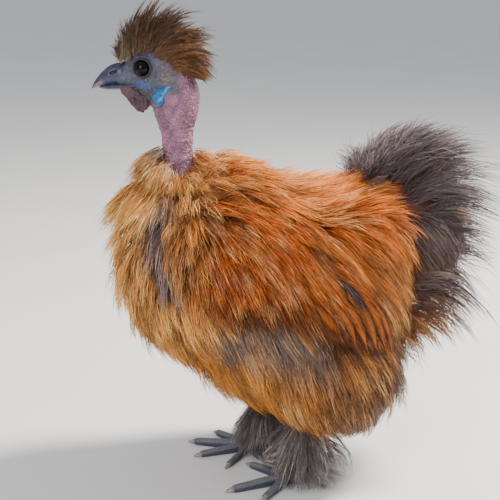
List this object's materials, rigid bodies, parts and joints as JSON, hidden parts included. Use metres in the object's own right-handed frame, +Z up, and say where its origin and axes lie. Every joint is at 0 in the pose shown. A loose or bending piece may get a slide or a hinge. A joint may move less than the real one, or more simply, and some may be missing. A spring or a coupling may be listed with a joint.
{
  "type": "naked-neck silkie hen",
  "caption": "Life-size standing hen with silky plumage, a spiky crest, a bare neck, a fan of soft tail feathers, feathered legs and spread toes.",
  "frame": {"origin": "on the floor, under the middle of the whole bird's box", "axes": "+Z up; the hen faces -X, with its head turned slightly to its right; its left side is at -Y"},
  "size_m": [0.2816, 0.1634, 0.3259],
  "materials": {
    "coat": "matte",
    "wing": "matte",
    "tail": "matte",
    "crest": "matte",
    "foot_feather": "matte",
    "neck_skin": "satin",
    "face_skin": "satin",
    "earlobe": "satin",
    "wattle": "satin",
    "foot_scale": "satin",
    "beak": "satin",
    "claw": "satin",
    "eye": "gloss"
  },
  "bodies": {
    "root": {"head": "face_skin", "beak_upper": "beak", "beak_lower": "beak", "crest": "crest", "neck": "neck_skin", "torso": "coat", "tail": "tail", "eye_left": "eye", "earlobe_left": "earlobe", "wattle_left": "wattle", "wing_left": "wing", "thigh_left": "coat", "shank_left": "foot_feather", "foot_left": "foot_scale", "claw_left_inner": "claw", "claw_left_middle": "claw", "claw_left_outer": "claw", "claw_left_hind": "claw", "claw_left_fifth": "claw", "eye_right": "eye", "earlobe_right": "earlobe", "wattle_right": "wattle", "wing_right": "wing", "thigh_right": "coat", "shank_right": "foot_feather", "foot_right": "foot_scale", "claw_right_inner": "claw", "claw_right_middle": "claw", "claw_right_outer": "claw", "claw_right_hind": "claw", "claw_right_fifth": "claw"}
  },
  "joints": []
}
